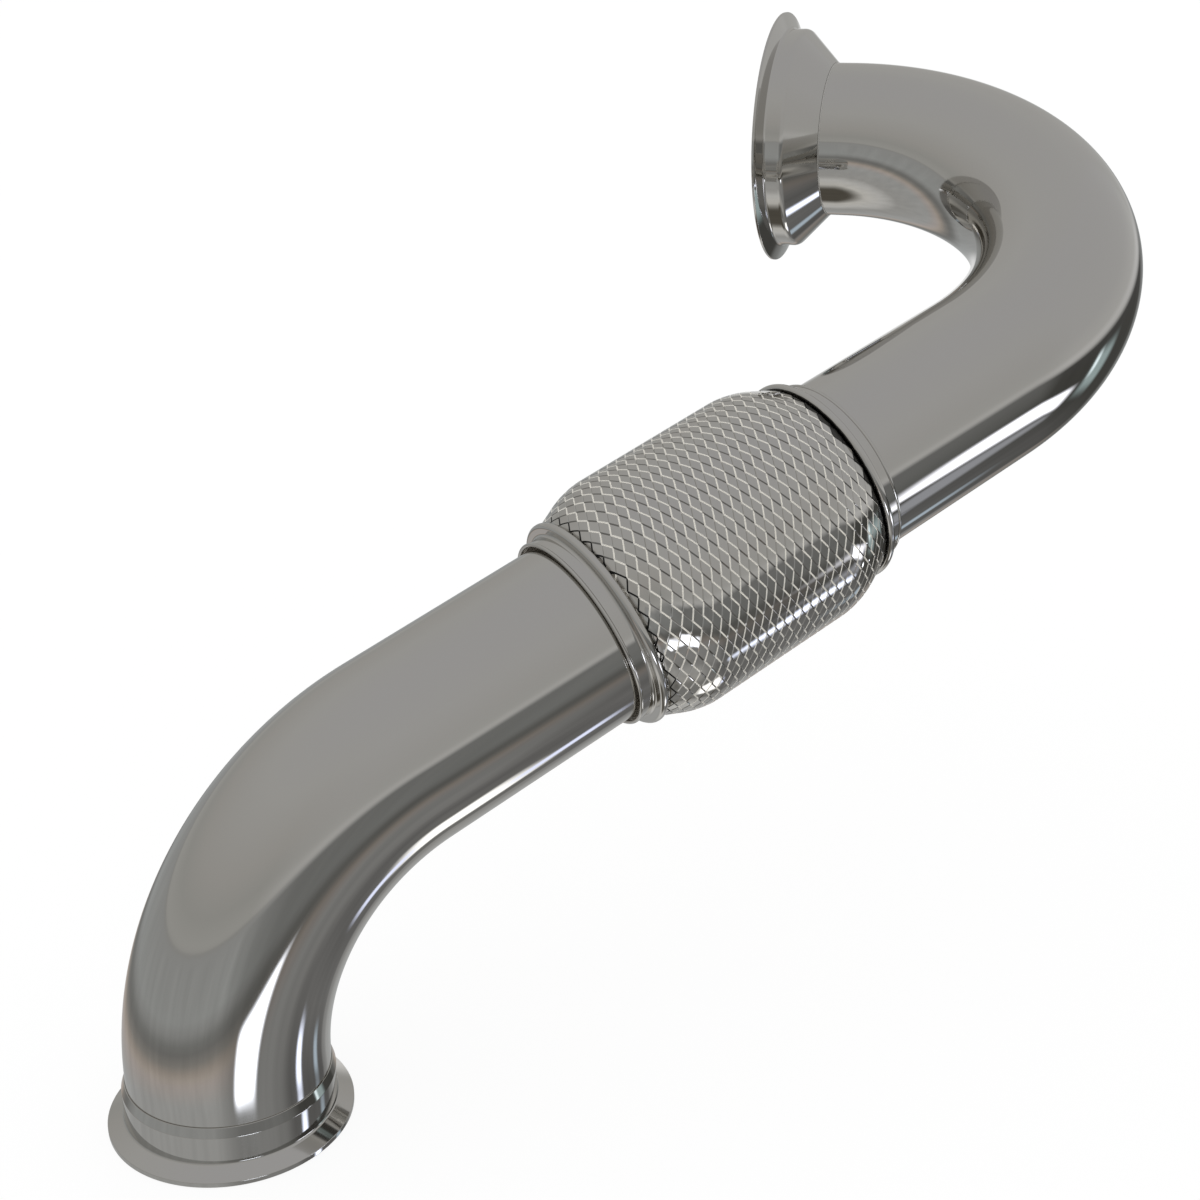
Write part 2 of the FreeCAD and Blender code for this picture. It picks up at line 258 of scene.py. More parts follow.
def plainSteel(name, colour, roughness, grainSize, metallic=1.0):
    # rolled or drawn steel: a satin metal with fine grain, its size given in millimetres
    material, tree, output = newMaterial(name)
    place = addNode(tree, "ShaderNodeTexCoord")
    noise = addNode(tree, "ShaderNodeTexNoise", None, {
        "Vector": place.outputs["Object"], "Scale": 1000 / grainSize, "Detail": 3.0})
    tone = addNode(tree, "ShaderNodeMapRange", None, {
        "Value": noise.outputs["Fac"], **noiseSpan,
        "To Min": roughness * grain["roughSpan"][0], "To Max": roughness * grain["roughSpan"][1]})
    bump = addNode(tree, "ShaderNodeBump", None, {
        "Height": noise.outputs["Fac"], "Strength": grain["strength"], "Distance": grain["depth"] * 0.001})
    shader = addNode(tree, "ShaderNodeBsdfPrincipled", None, {
        "Base Color": hexColour(colour), "Metallic": metallic,
        "Roughness": tone.outputs["Result"], "Normal": bump.outputs["Normal"]})
    tree.links.new(shader.outputs["BSDF"], output.inputs["Surface"])
    return material


mirrorTube = polishedStainless("Buffed 304 stainless tube")
# sheet as it leaves the rolls: even and dull
sheetSteel = plainSteel("Rolled stainless sheet", "#B9B7B2", 0.28, 1.5)
# bead brushed after welding: greyer and duller than the sheet
weldSteel = plainSteel("Brushed weld bead", "#A9A49C", 0.35, 0.8)
# flat ribbons of bright drawn wire: nearly a mirror
braidPad = plainSteel("Bright braid ribbon", "#C9C7C3", 0.035, 2.0)
# painted highlight: the ribbon edges on the side that faces the light, drawn as a pale matt line
braidHighlightEdge = plainSteel("Painted highlight on ribbon edge", "#F3F0E8", 0.45, 1.0, 0.5)
# painted shade: the same edges on the side turned away from the light, drawn as a soft grey line
braidShade = plainSteel("Shaded ribbon edge", "#8B8986", 0.15, 1.0)
# painted shade: the ribbons at the upper end that turn in under the collar, drawn dark grey
braidTuckShade = plainSteel("Braid end in the shade of the collar", "#4A4947", 0.2, 1.0)
# painted shade: the dark of an opening between ribbons, drawn nearly black on the rims and on the sleeve under
# them
braidGapShade = plainSteel("Painted shade in gaps between ribbons", "#161615", 0.6, 1.0, 0.3)
# bead ground level with the tube and buffed: a pale satin band
flushWeld = plainSteel("Weld ground flush and buffed", "#D6D4D0", 0.4, 3.0)
print("materials made")

# Pipes, which end at the flanges and the joint, so the sizes of these stand here too

lowerFlange = {
    "rimReach": 10.26, "rimEdge": 2.6, "neckWall": 2.1, "coneHeight": 4.1, "coneFillet": 1.5,
    "neckTop": 21.6, "neckFillet": 1.0, "height": 26.4, "tipWall": 0.55,
    "seatHeight": 6.0, "rootWeld": 1.2, "gap": 0.1,
}
upperFlange = {
    "rimRadius": 83.3, "rimEdge": 1.6, "neckRadius": 72.66, "shoulder": 16.5, "shoulderFillet": 5.5,
    "backHeight": 3.95, "backFillet": 2.2,      # a clamp's usual slope of 20 degrees
    "height": 36.9, "wall": 2.0, "tipWall": 0.5, "innerFillet": 3.5, "weldWidth": 1.0,
}
edgeRound = {"rim": 0.4, "tip": 0.15, "mouth": 0.5, "sheet": 0.3}      # mm
joint = {
    "length": 176.4, "sheet": 1.2, "clampRadius": 54.0, "lipRoll": 1.0, "lipGap": 1.8, "lipSteps": 32,
    "beadRadius": 60.25, "beadInset": 9.2, "beadWidth": 4.6, "beadFlat": 0.1, "fillet": 1.6,
    "setback": 4.2, "weldWidth": 0.9, "mouthGap": 0.25,
}
jointHalf = joint["length"] / 2
layerEnd = jointHalf - joint["setback"]
pipeEnd = layerEnd + joint["weldWidth"]
pipeMesh = {"segments": 192, "degreesPerRing": 1.2, "straightRings": 12}


def bentPipe(name, start, bendStart, bendCentre, axis, angle, firstDir, end, stands):
    # a circle carried along straight, arc and straight, out along the outside and back along the bore
    turns = np.linspace(0, angle, int(angle / pipeMesh["degreesPerRing"]))
    arc = np.array([bendCentre + turnAbout(bendStart - bendCentre, axis, turn) for turn in turns])
    arcDirs = np.array([turnAbout(firstDir, axis, turn) for turn in turns])
    rings, segments = pipeMesh["straightRings"], pipeMesh["segments"]
    share = np.linspace(0, 1, rings + 1)[:, None]
    centres = np.concatenate([
        start + (arc[0] - start) * share[:-1], arc, arc[-1] + (end - arc[-1]) * share[1:]])
    dirs = np.concatenate([np.repeat(arcDirs[:1], rings, 0), arcDirs, np.repeat(arcDirs[-1:], rings, 0)])
    distance = np.concatenate([[0], np.cumsum(np.linalg.norm(np.diff(centres, axis=0), axis=1))])
    across = np.cross(dirs, axis)
    roundAngle = np.arange(segments) * 2 * np.pi / segments
    radial = np.cos(roundAngle)[None, :, None] * axis + np.sin(roundAngle)[None, :, None] * across[:, None]
    outside = centres[:, None] + radial * tubeRadius
    inside = centres[:, None] + radial * boreRadius
    points = np.concatenate([outside, inside[::-1]])
    along = np.concatenate([distance, distance[::-1]])[:, None] / 1000
    coords = np.stack(np.broadcast_arrays(np.cos(roundAngle)[None], np.sin(roundAngle)[None], along), -1)
    return addPiece(name, points.reshape(-1, 3), gridFaces(len(points), segments), [mirrorTube],
                    stands, coords=coords.reshape(-1, 3))


lowerPipeStart = up * (lowerFlange["seatHeight"] + lowerFlange["rootWeld"])
upperPipeEnd = upperFace - upperDir * (upperFlange["height"] + upperFlange["weldWidth"])
bentPipe("lowerTube", lowerPipeStart, lowerBendStart, lowerBendCentre, lowerAxis, route["lowerBendAngle"],
         up, flexCentre - runDir * pipeEnd, ["lower_pipe"])
bentPipe("upperTube", flexCentre + runDir * pipeEnd, upperBendStart, upperBendCentre, upperAxis,
         route["upperBendAngle"], runDir, upperPipeEnd, ["upper_pipe"])

# Flanges

neck = tubeRadius + lowerFlange["neckWall"]
rim = tubeRadius + lowerFlange["rimReach"]
turnedPiece("lowerClampFlange", [
    (boreRadius, 0), (rim, 0, edgeRound["rim"]), (rim, lowerFlange["rimEdge"], edgeRound["rim"]),
    (neck, lowerFlange["rimEdge"] + lowerFlange["coneHeight"], lowerFlange["coneFillet"]),
    (neck, lowerFlange["neckTop"], lowerFlange["neckFillet"]),
    (tubeRadius + lowerFlange["tipWall"], lowerFlange["height"], edgeRound["tip"]),
    (tubeRadius + lowerFlange["gap"], lowerFlange["height"]),
    (tubeRadius + lowerFlange["gap"], lowerFlange["seatHeight"]), (boreRadius, lowerFlange["seatHeight"]),
], np.zeros(3), up, mirrorTube, ["lower_flange"])

# the inside of the reducing cone is the outside moved in by the wall, measured square to the cone
coneTop = tubeRadius + upperFlange["tipWall"]
coneFall = (upperFlange["neckRadius"] - coneTop) / (upperFlange["height"] - upperFlange["shoulder"])
innerShift = upperFlange["wall"] * np.hypot(1, coneFall)
innerNeck = upperFlange["neckRadius"] - upperFlange["wall"]
turnedPiece("upperClampFlange", [
    (innerNeck, 0, edgeRound["mouth"]), (upperFlange["rimRadius"], 0, edgeRound["rim"]),
    (upperFlange["rimRadius"], upperFlange["rimEdge"], edgeRound["rim"]),
    (upperFlange["neckRadius"], upperFlange["rimEdge"] + upperFlange["backHeight"],
     upperFlange["backFillet"]),
    (upperFlange["neckRadius"], upperFlange["shoulder"], upperFlange["shoulderFillet"]),
    (coneTop, upperFlange["height"], edgeRound["tip"]), (boreRadius, upperFlange["height"]),
    (boreRadius, upperFlange["height"] - (boreRadius - (coneTop - innerShift)) / coneFall),
    (innerNeck, upperFlange["shoulder"] + (upperFlange["wall"] - innerShift) / coneFall,
     upperFlange["innerFillet"]),
], upperFace, -upperDir, mirrorTube, ["upper_flange"])

# Braid

braid = {
    "radius": 68.15, "tilesAround": 34, "tileLength": 5.85,
    "turnShift": 3,                                     # rows climbed in one turn
    "edgeWidth": 0.8, "grooveDepth": 0.30, "padSteps": 4,
    "lastRow": 76.5,                                    # mm from the middle, as the next four are
    "tuckAt": 72.9, "gapAt": 72.2, "shadeFrom": 70.6, "coreReach": 76.0,
    "tuckWidth": 1.2, "leastEase": 0.5, "mostEase": 4.0, "easeSamples": 17,
    "coreSink": 0.05, "coreWall": 1.25, "coreRings": 77, "coreSegments": 192,
    "tailRadius": 52.7, "tailInner": 51.6, "tailLength": 4.6,
}
# the barrel from its middle out to the collar: distance along the joint and radius
braidShape = np.array([
    (0, braid["radius"]), (jointHalf - 41.5, braid["radius"]), (jointHalf - 31.0, braid["radius"] - 2.3),
    (jointHalf - 19.9, braid["radius"] - 7.35), (braid["tuckAt"], braid["radius"] - 9.05),
    (braid["tuckAt"] + braid["tuckWidth"], braid["radius"] - 11.85),
    (layerEnd - braid["tailLength"], braid["tailRadius"]), (layerEnd, braid["tailRadius"]),
])


def braidRadius(u):
    # the outline's radius at a distance from the middle, its corners eased by a running mean, 8 mm long on
    # the barrel and shorter towards the collars, where the ribbons turn in sharply
    reach = np.clip(braid["tuckAt"] + braid["tuckWidth"] - np.abs(u), braid["leastEase"], braid["mostEase"])
    samples = [np.interp(np.abs(u + shift * reach), braidShape[:, 0], braidShape[:, 1])
               for shift in np.linspace(-1, 1, braid["easeSamples"])]
    return np.mean(samples, axis=0)


# finish of each face, or the painted highlight or shade drawn on it, as its place in the piece's list of
# materials
braidFinishAndShade = {"pad": braidPad, "edge": braidHighlightEdge, "shade": braidShade, "gap": braidGapShade, "tuck": braidTuckShade}
braidKind = {name: place for place, name in enumerate(braidFinishAndShade)}


def wovenBraid():
    # lattice of four-sided tiles: one way across a tile adds half a tile round and half along, the other way
    # adds half round and takes half along; the tile's rim is a groove, and rows climb as they go round
    steps, tilesAround, length = braid["padSteps"], braid["tilesAround"], braid["tileLength"]
    turn = 2 * np.pi / tilesAround
    tileEdge = np.hypot(length / 2, braid["radius"] * turn / 2)
    across = length * braid["radius"] * turn / 2 / tileEdge
    rim = braid["edgeWidth"] / 2 / across
    side = np.concatenate([[0], np.linspace(rim, 1 - rim, steps + 1), [1]])
    p, q = np.meshgrid(side, side, indexing="ij")
    sink = np.where((p == 0) | (p == 1) | (q == 0) | (q == 1), braid["grooveDepth"], 0.0)
    climb = braid["turnShift"] * length / (2 * np.pi)
    reach = int(jointHalf / (length / 2)) + braid["turnShift"] * 2 + 2
    row, column = [a.ravel() for a in np.meshgrid(
        np.arange(-reach, reach + 1), np.arange(tilesAround), indexing="ij")]
    angle = (column + 0.5 * (row % 2)) * turn
    middle = row * length / 2 + climb * angle
    keep = np.abs(middle) < braid["lastRow"]
    row, angle, middle = row[keep], angle[keep], middle[keep]
    angles = angle[:, None, None] + (p + q - 1) * turn / 2
    u = middle[:, None, None] + (p - q) * length / 2 + climb * (p + q - 1) * turn / 2
    radius = braidRadius(u) - sink
    top = np.cross(runDir, lowerAxis) * -1
    radial = np.cos(angles)[..., None] * top - np.sin(angles)[..., None] * lowerAxis
    points = (flexCentre + u[..., None] * runDir + radius[..., None] * radial).reshape(-1, 3)
    count, cells = len(side), len(side) - 1
    i, j = [a.ravel() for a in np.meshgrid(np.arange(cells), np.arange(cells), indexing="ij")]
    cell = np.stack([i * count + j, (i + 1) * count + j, (i + 1) * count + j + 1, i * count + j + 1], -1)
    faces = (np.arange(len(row))[:, None, None] * count * count + cell[None]).reshape(-1, 4)
    upperSideRim = (i == cells - 1) | (j == 0)       # the two sides towards the upper end
    lowerSideRim = (i == 0) | (j == cells - 1)
    even = (row % 2 == 0)[:, None]
    # painted highlight: the rims on the side towards the light, the upper sides of even rows and the lower
    # sides of odd rows, are drawn pale
    paintedHighlightRim = np.where(even, upperSideRim[None], lowerSideRim[None])
    # painted shade: in even rows the rim on the lower-end side that is not lit is drawn grey
    paintedShadeRim = even & (i == 0)[None] & ~paintedHighlightRim
    # where each side of a tile has its middle along the joint, to find the row next to each collar whose rims
    # get a painted near-black shade, as an opening would show
    slope, quarter = climb * turn / 4, length / 4
    paintedGapShade = np.zeros((len(row), len(i)), bool)
    for shift, onSide in ((-quarter - slope, i == 0), (quarter + slope, i == cells - 1),
                          (quarter - slope, j == 0), (slope - quarter, j == cells - 1)):
        shadeRow = np.abs(np.abs(middle + shift) - braid["gapAt"]) < quarter
        paintedGapShade |= shadeRow[:, None] & onSide[None]
    paintedEndShade = (middle > braid["shadeFrom"])[:, None]      # painted shade: the last ribbons at the upper end are drawn dark grey, as the collar's shade falls on them
    kind = np.where(paintedHighlightRim, braidKind["edge"], np.where(paintedShadeRim, braidKind["shade"], braidKind["pad"]))
    kind = np.where(paintedGapShade, braidKind["gap"], np.where(paintedEndShade, braidKind["tuck"], kind))
    return points, faces, kind.reshape(-1)


def braidCore():
    # closed sleeve just under the ribbons, with straight tails that run in under the collars: the radius of the
    # barrel less the groove and the sink outside, and less the wall inside
    reach = braid["coreReach"]
    u = np.concatenate([[-layerEnd], np.linspace(-reach, reach, braid["coreRings"]), [layerEnd]])
    outer = braidRadius(u) - braid["grooveDepth"] - braid["coreSink"]
    outer[[0, -1]] = braid["tailRadius"]
    inner = np.where(np.abs(u) > reach, braid["tailInner"], outer - braid["coreWall"])
    outline = np.concatenate([np.stack([outer, u], -1), np.stack([inner, u], -1)[::-1]])
    return turnedGrid(outline, flexCentre, runDir, braid["coreSegments"])[:2]


wovenPoints, wovenFaces, wovenKind = wovenBraid()
corePoints, coreFaces = braidCore()
braidPoints = np.concatenate([wovenPoints, corePoints])
braidFaces = np.concatenate([wovenFaces, coreFaces + len(wovenPoints)])
# the sleeve under the ribbons is drawn nearly black too: painted shade for the dark under the weave
braidKinds = np.concatenate([wovenKind, np.full(len(coreFaces), braidKind["gap"])])
addPiece("wovenBraid", braidPoints, braidFaces, list(braidFinishAndShade.values()), ["braid"],
         faceMaterial=braidKinds, sharpAngle=20)

# Collars

beadOuter = jointHalf - joint["beadInset"]
mouth = beadOuter - joint["beadWidth"]
mouthRadius = float(np.interp(mouth, braidShape[:, 0], braidShape[:, 1])) + joint["mouthGap"]
crest = (joint["beadWidth"] - joint["beadFlat"]) / 2
bandInner = joint["clampRadius"] - joint["sheet"]
beadInner = joint["beadRadius"] - joint["sheet"]
rollAt = jointHalf - joint["lipRoll"]
rollRadius = tubeRadius + joint["lipGap"] + joint["lipRoll"]
for name, side, node in (("lowerSpunCollar", -1, "lower_collar"), ("upperSpunCollar", 1, "upper_collar")):
    # one sheet from the band over the bead to the mouth and back inside, and the rolled lip as its own ring
    sheetOutline = roundedOutline([
        (joint["clampRadius"], rollAt), (joint["clampRadius"], beadOuter, joint["fillet"]),
        (joint["beadRadius"], beadOuter, crest), (joint["beadRadius"], mouth, crest),
        (mouthRadius, mouth, edgeRound["sheet"]), (mouthRadius, mouth + joint["sheet"], edgeRound["sheet"]),
        (beadInner, mouth + joint["sheet"], crest - joint["sheet"]),
        (beadInner, beadOuter - joint["sheet"], crest - joint["sheet"]),
        (bandInner, beadOuter - joint["sheet"], joint["fillet"] + joint["sheet"]), (bandInner, rollAt),
    ])
    ring = np.linspace(0, 2 * np.pi, joint["lipSteps"] + 1)[:-1]
    rollOutline = np.array([rollRadius, rollAt]) + joint["lipRoll"] * np.stack([np.cos(ring), np.sin(ring)], -1)
    sheetPoints, sheetFaces, sheetCoords = turnedGrid(sheetOutline, flexCentre, runDir * side)
    rollPoints, rollFaces, rollCoords = turnedGrid(rollOutline, flexCentre, runDir * side)
    addPiece(name, np.concatenate([sheetPoints, rollPoints]),
             np.concatenate([sheetFaces, rollFaces + len(sheetPoints)]), [mirrorTube],
             [node], coords=np.concatenate([sheetCoords, rollCoords]))

# CAD pieces that keep their shape get their own finish
finishes = {
    "lower_flange_weld": weldSteel, "lower_collar_weld": weldSteel, "upper_collar_weld": weldSteel,
    "upper_flange_weld": flushWeld, "lower_inner_ring": sheetSteel, "upper_inner_ring": sheetSteel,
    "liner": sheetSteel, "bellows": sheetSteel,
}
for name, material in finishes.items():
    for slot in nodes[name].material_slots:
        slot.material = material
    if not nodes[name].material_slots:
        nodes[name].data.materials.append(material)
print("CAD pieces dressed:", len(finishes))

# Studio

studio = {
    "floorColour": "#F4F4F4", "floorHalf": 40.0, "floorHeight": -0.0004,      # m
    "floorWhite": 0.88,         # share of the paper that the camera sees as plain white
    "whiteStrength": 1.02,      # just over 1, so that it shows as pure white
    "worldStrength": 1.0, "roomRadius": 20.0,
    "roomStrength": 1.76,       # the polish gives back a little over half, so the greys below show as written
    "streaks": 0.3,             # how much the walls vary from place to place
    "streakShape": (7, 7, 0.8), "streakScale": 1.6,     # tall cells, so that the streaks stand upright
    "streakFade": -0.04,        # sine of the elevation below which they have their full strength
    "roomSides": 72, "roomRings": 37, "panelRings": 9,
    "panelReach": 0.95, "panelStep": 0.01,      # shares of the room's radius
}


def stagePiece(name, points, faces, material, smooth=True):
    # arrays in metres become a piece of the studio
    mesh = bpy.data.meshes.new(name)
    mesh.from_pydata(points.tolist(), [], faces.tolist())
    mesh.polygons.foreach_set("use_smooth", np.full(len(faces), smooth))
    mesh.materials.append(material)
    piece = bpy.data.objects.new(name, mesh)
    bpy.context.scene.collection.objects.link(piece)
    return piece


def plainGrey(value):
    return (value, value, value, 1.0)


def onlyInReflections(piece):
    # the studio shows in the polish and nowhere else
    piece.visible_camera = piece.visible_diffuse = piece.visible_transmission = False
    piece.visible_volume_scatter = piece.visible_shadow = False


def seenRay(tree):
    # 1 for a ray that the camera sees, straight or by way of metal or glass, and 0 for light on the object
    path = addNode(tree, "ShaderNodeLightPath")
    seen = addNode(tree, "ShaderNodeMath", {"operation": "MAXIMUM"}, {
        0: path.outputs["Is Camera Ray"], 1: path.outputs["Is Glossy Ray"]})
    return addNode(tree, "ShaderNodeMath", {"operation": "MAXIMUM"}, {
        0: seen.outputs[0], 1: path.outputs["Is Transmission Ray"]}).outputs[0]


def floorMaterial():
    # matt white paper: most of it is plain white to the camera, and the rest keeps the shadow
    material, tree, output = newMaterial("White paper floor")
    share = addNode(tree, "ShaderNodeMath", {"operation": "MULTIPLY"}, {
        0: seenRay(tree), 1: studio["floorWhite"]})
    paper = addNode(tree, "ShaderNodeBsdfDiffuse", None, {"Color": hexColour(studio["floorColour"])})
    white = addNode(tree, "ShaderNodeEmission", None, {
        "Color": plainGrey(1.0), "Strength": studio["whiteStrength"]})
    mix = addNode(tree, "ShaderNodeMixShader", None, {
        0: share.outputs[0], 1: paper.outputs[0], 2: white.outputs[0]})
    tree.links.new(mix.outputs[0], output.inputs["Surface"])
    return material


floorCorners = np.array([(-1, -1, 0), (1, -1, 0), (1, 1, 0), (-1, 1, 0)]) * studio["floorHalf"]
floorPiece = stagePiece("studioFloor", floorCorners + up * studio["floorHeight"], np.array([[0, 1, 2, 3]]),
                        floorMaterial(), False)
floorPiece.visible_glossy = False

world = bpy.context.scene.world or bpy.data.worlds.new("studio")
bpy.context.scene.world = world
world.use_nodes = True
worldTree = world.node_tree
worldTree.nodes.clear()
skyLight = addNode(worldTree, "ShaderNodeBackground", None, {
    "Color": plainGrey(1.0), "Strength": studio["worldStrength"]})
whiteBackdrop = addNode(worldTree, "ShaderNodeBackground", None, {"Color": plainGrey(1.0), "Strength": 1.0})
worldMix = addNode(worldTree, "ShaderNodeMixShader", None, {
    0: seenRay(worldTree), 1: skyLight.outputs[0], 2: whiteBackdrop.outputs[0]})
addNode(worldTree, "ShaderNodeOutputWorld", None, {"Surface": worldMix.outputs[0]})


def onSphere(azimuth, elevation, radius):
    # point at these degrees round from +X and up from the level: the radius times their cosines and sines
    azimuth, elevation = np.radians(azimuth), np.radians(elevation)
    return radius * np.stack([np.cos(azimuth) * np.cos(elevation), np.sin(azimuth) * np.cos(elevation),
                              np.sin(elevation) + 0 * azimuth], -1)


# walls of the room by elevation in degrees: on one side dark below eye level, on the others grey all the way
# down to a dark floor, and the share of the grey ones by azimuth in degrees
walls = {
    "darkSide": [
        (-90, "#6E6E6D"), (-56, "#666665"), (-49, "#585858"), (-44, "#606060"), (-36, "#505050"),
        (-30, "#444443"), (-22, "#393937"), (-8, "#3A3A38"), (-0.6, "#3C3C3B"), (2.4, "#9C9C9C"),
        (4.5, "#A4A4A4"), (8, "#979796"), (20, "#929292"), (90, "#919192")],
    "greySide": [
        (-90, "#45423C"), (-73, "#45423C"), (-66, "#A8A7A4"), (-58, "#A4A4A3"), (-50, "#888887"),
        (-34, "#8A8B8B"), (-29.5, "#928C89"), (-28, "#918A84"), (-26.5, "#867F79"), (-24.5, "#716F6C"),
        (-22, "#636362"), (-20, "#686968"), (-17.5, "#797A7A"), (-14.5, "#828484"), (0.8, "#7F8080"),
        (2.1, "#7C7C7B"), (2.7, "#888886"), (4, "#8A8A88"), (11, "#858583"), (21, "#8B8A88"),
        (45, "#919190"), (90, "#919192")],
    "greyShare": [
        (-180, 1.0), (-126, 1.0), (-112, 0.65), (-100, 0.45), (-62, 0.47), (-50, 0.33), (-38, 0.0),
        (20, 0.0), (24, 0.45), (30, 0.6), (36, 0.9), (44, 1.0), (180, 1.0)],
}


def roomMaterial():
    # plain painted room that glows as lit walls do: two blends by height, mixed by the way round
    material, tree, output = newMaterial("Grey studio room")
    coord = addNode(tree, "ShaderNodeTexCoord")
    direction = addNode(tree, "ShaderNodeVectorMath", {"operation": "NORMALIZE"}, {
        0: coord.outputs["Object"]})
    split = addNode(tree, "ShaderNodeSeparateXYZ", None, {0: direction.outputs["Vector"]})
    height = addNode(tree, "ShaderNodeMapRange", None, {
        "Value": split.outputs["Z"], "From Min": -1.0, "From Max": 1.0})
    around = addNode(tree, "ShaderNodeMath", {"operation": "ARCTAN2"}, {
        0: split.outputs["Y"], 1: split.outputs["X"]})
    turned = addNode(tree, "ShaderNodeMapRange", None, {
        "Value": around.outputs[0], "From Min": -np.pi, "From Max": np.pi})
    shareStops = [((azimuth + 180) / 360, plainGrey(grey)) for azimuth, grey in walls["greyShare"]]
    darkStops, greyStops = [
        [((np.sin(np.radians(elevation)) + 1) / 2, hexColour(colour)) for elevation, colour in walls[side]]
        for side in ("darkSide", "greySide")]
    blends = []
    for position, stops in ((turned, shareStops), (height, darkStops), (height, greyStops)):
        ramp = addNode(tree, "ShaderNodeValToRGB", None, {"Fac": position.outputs["Result"]})
        elements = ramp.color_ramp.elements
        while len(elements) < len(stops):
            elements.new(0.5)
        for element, (place, colour) in zip(elements, stops):
            element.position, element.color = place, colour
        blends.append(ramp.outputs["Color"])
    mix = addNode(tree, "ShaderNodeMixRGB", None, {"Fac": blends[0], "Color1": blends[1], "Color2": blends[2]})
    # upright streaks below eye level, as furniture and stands show in the polish
    streaks = addNode(tree, "ShaderNodeMapping", None, {
        "Vector": direction.outputs["Vector"], "Scale": studio["streakShape"]})
    noise = addNode(tree, "ShaderNodeTexNoise", None, {
        "Vector": streaks.outputs["Vector"], "Scale": studio["streakScale"], "Detail": 3.0})
    low = addNode(tree, "ShaderNodeMapRange", None, {
        "Value": split.outputs["Z"], "From Min": 0.0, "From Max": studio["streakFade"],
        "To Min": 0.0, "To Max": studio["streaks"]})
    swing = addNode(tree, "ShaderNodeMath", {"operation": "SUBTRACT"}, {0: noise.outputs["Fac"], 1: 0.5})
    bright = addNode(tree, "ShaderNodeMath", {"operation": "MULTIPLY_ADD"}, {
        0: swing.outputs[0], 1: low.outputs["Result"], 2: 1.0})
    strength = addNode(tree, "ShaderNodeMath", {"operation": "MULTIPLY"}, {
        0: bright.outputs[0], 1: studio["roomStrength"]})
    glow = addNode(tree, "ShaderNodeEmission", None, {
        "Color": mix.outputs["Color"], "Strength": strength.outputs[0]})
    tree.links.new(glow.outputs[0], output.inputs["Surface"])
    return material


def sphereFaces(sides, rings, closed):
    # four-sided faces of a grid of points on the sphere, which closes on itself for the room
    i, j = [a.ravel() for a in np.meshgrid(
        np.arange(sides if closed else sides - 1), np.arange(rings - 1), indexing="ij")]
    ahead = (i + 1) % sides
    return np.stack([i * rings + j, i * rings + j + 1, ahead * rings + j + 1, ahead * rings + j], -1)


azimuth, elevation = np.meshgrid(np.arange(studio["roomSides"]) * 360 / studio["roomSides"],
                                 np.linspace(-90, 90, studio["roomRings"]), indexing="ij")
roomPoints = onSphere(azimuth, elevation, studio["roomRadius"]).reshape(-1, 3)
roomFaces = sphereFaces(studio["roomSides"], studio["roomRings"], True)
onlyInReflections(stagePiece("studioRoom", roomPoints, roomFaces, roomMaterial()))


def panelMaterial(name, colour, strength, softness):
    # bright panel that fades out at its edges, by the panel's own coordinates from 0 to 1
    material, tree, output = newMaterial(name)
    spot = addNode(tree, "ShaderNodeUVMap", {"uv_map": "panel"})
    split = addNode(tree, "ShaderNodeSeparateXYZ", None, {0: spot.outputs["UV"]})
    edges = []
    for axis in ("X", "Y"):
        away = addNode(tree, "ShaderNodeMath", {"operation": "SUBTRACT"}, {0: split.outputs[axis], 1: 0.5})
        size = addNode(tree, "ShaderNodeMath", {"operation": "ABSOLUTE"}, {0: away.outputs[0]})
        edges.append(addNode(tree, "ShaderNodeMapRange", {"interpolation_type": "SMOOTHSTEP"}, {
            "Value": size.outputs[0], "From Min": 0.5 - softness, "From Max": 0.5,
            "To Min": 1.0, "To Max": 0.0}))
    cover = addNode(tree, "ShaderNodeMath", {"operation": "MULTIPLY"}, {
        0: edges[0].outputs["Result"], 1: edges[1].outputs["Result"]})
    clear = addNode(tree, "ShaderNodeBsdfTransparent")
    glow = addNode(tree, "ShaderNodeEmission", None, {"Color": hexColour(colour), "Strength": strength})
    mix = addNode(tree, "ShaderNodeMixShader", None, {
        0: cover.outputs[0], 1: clear.outputs[0], 2: glow.outputs[0]})
    tree.links.new(mix.outputs[0], output.inputs["Surface"])
    return material


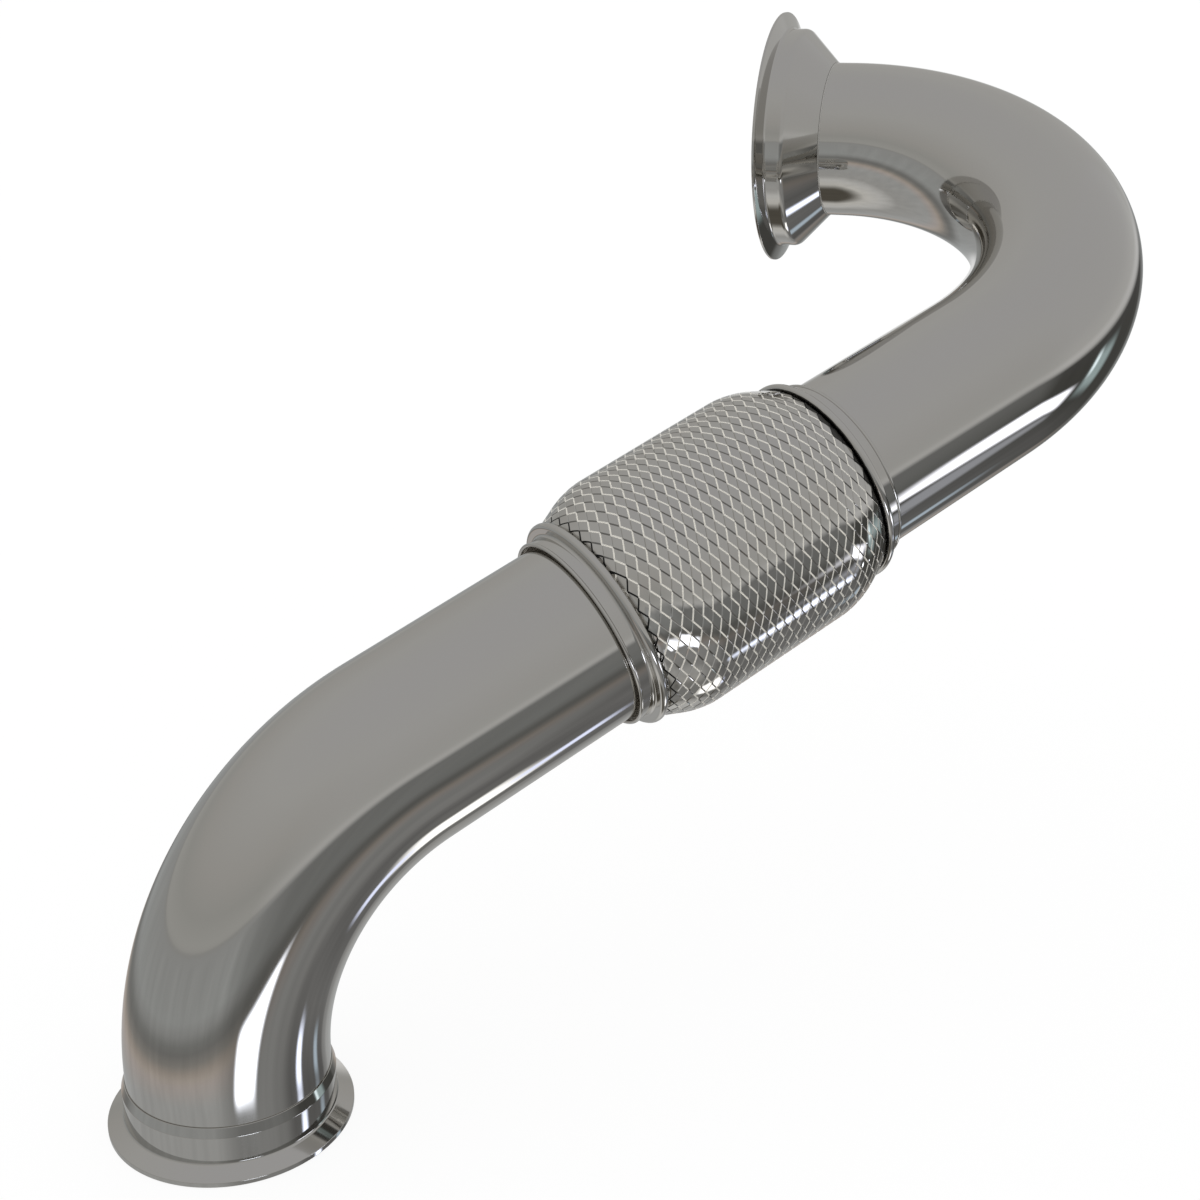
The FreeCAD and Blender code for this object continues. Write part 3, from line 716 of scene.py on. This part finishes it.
# softboxes and a dim panel: ranges of azimuth and elevation in degrees, colour, strength and edge softness
panels = {
    "frontSoftbox": ((-106.5, -78.5), (-36.4, -23.9), "#EEF3FF", 5.0, 0.25),
    "sideGlow": ((-38, -18), (-36, -25), "#85878D", 1.8, 0.3),
    "sideSoftbox": ((-48, -18), (-26.5, -14.3), "#F2F4FF", 3.2, 0.3),
    "tallSoftbox": ((-19, 1), (-24, -3), "#DDF3F6", 0.6, 0.35),
    "tallCore": ((-17, -11), (-17, -4), "#E8F8FF", 1.6, 0.45),
    "smallBlueSoftbox": ((-31, -19), (-43, -34), "#E0E8FF", 3.0, 0.4),
    "smallSoftbox": ((0, 12), (-43, -34), "#DCEEFF", 0.8, 0.4),
    "lowSoftbox": ((-22, 10), (-70, -52), "#FFFFFF", 2.0, 0.2),
    "lowEdgeSoftbox": ((-10, 5), (-56, -49.3), "#DDE4FF", 1.8, 0.35),
    "rearSoftbox": ((38, 62), (-14, 16), "#FFFFFF", 0.9, 0.45),
}
rings = studio["panelRings"]
share = np.linspace(0, 1, rings)
spots = np.stack(np.meshgrid(share, share, indexing="ij"), -1).reshape(-1, 2)
panelFaces = sphereFaces(rings, rings, False)
for place, (name, (azimuths, elevations, colour, strength, softness)) in enumerate(panels.items()):
    azimuth, elevation = np.meshgrid(
        np.linspace(*azimuths, rings), np.linspace(*elevations, rings), indexing="ij")
    nearer = studio["panelReach"] - studio["panelStep"] * place      # each stands in front of the one before
    panelPoints = onSphere(azimuth, elevation, studio["roomRadius"] * nearer).reshape(-1, 3)
    panel = stagePiece(name, panelPoints, panelFaces, panelMaterial(name, colour, strength, softness))
    panel.data.uv_layers.new(name="panel").data.foreach_set("uv", spots[panelFaces].ravel())
    onlyInReflections(panel)
print("studio made: room and", len(panels), "panels")

# Camera, fitted to the photograph, in metres
view = {
    "eye": (-0.208148, -0.710968, 0.538029), "right": (0.85980081, -0.51062039, 0.00306221),
    "up": (0.17391738, 0.29847613, 0.93843739), "forward": (0.48009927, 0.80633666, -0.34543578),
    "lens": 50.82, "sensor": 36.0, "shiftX": 0.0007, "shiftY": 0.0014, "nearest": 0.01, "farthest": 200.0,
}
cameraData = bpy.data.cameras.new("photoCamera")
cameraData.lens, cameraData.sensor_width = view["lens"], view["sensor"]
cameraData.shift_x, cameraData.shift_y = view["shiftX"], view["shiftY"]
cameraData.clip_start, cameraData.clip_end = view["nearest"], view["farthest"]
camera = bpy.data.objects.new("photoCamera", cameraData)
bpy.context.scene.collection.objects.link(camera)
columns = np.array([view["right"], view["up"], [-c for c in view["forward"]], view["eye"]]).T
camera.matrix_world = Matrix([*columns.tolist(), [0, 0, 0, 1]])
bpy.context.scene.camera = camera
bpy.context.scene.view_settings.view_transform = "Standard"
print("camera and view set")
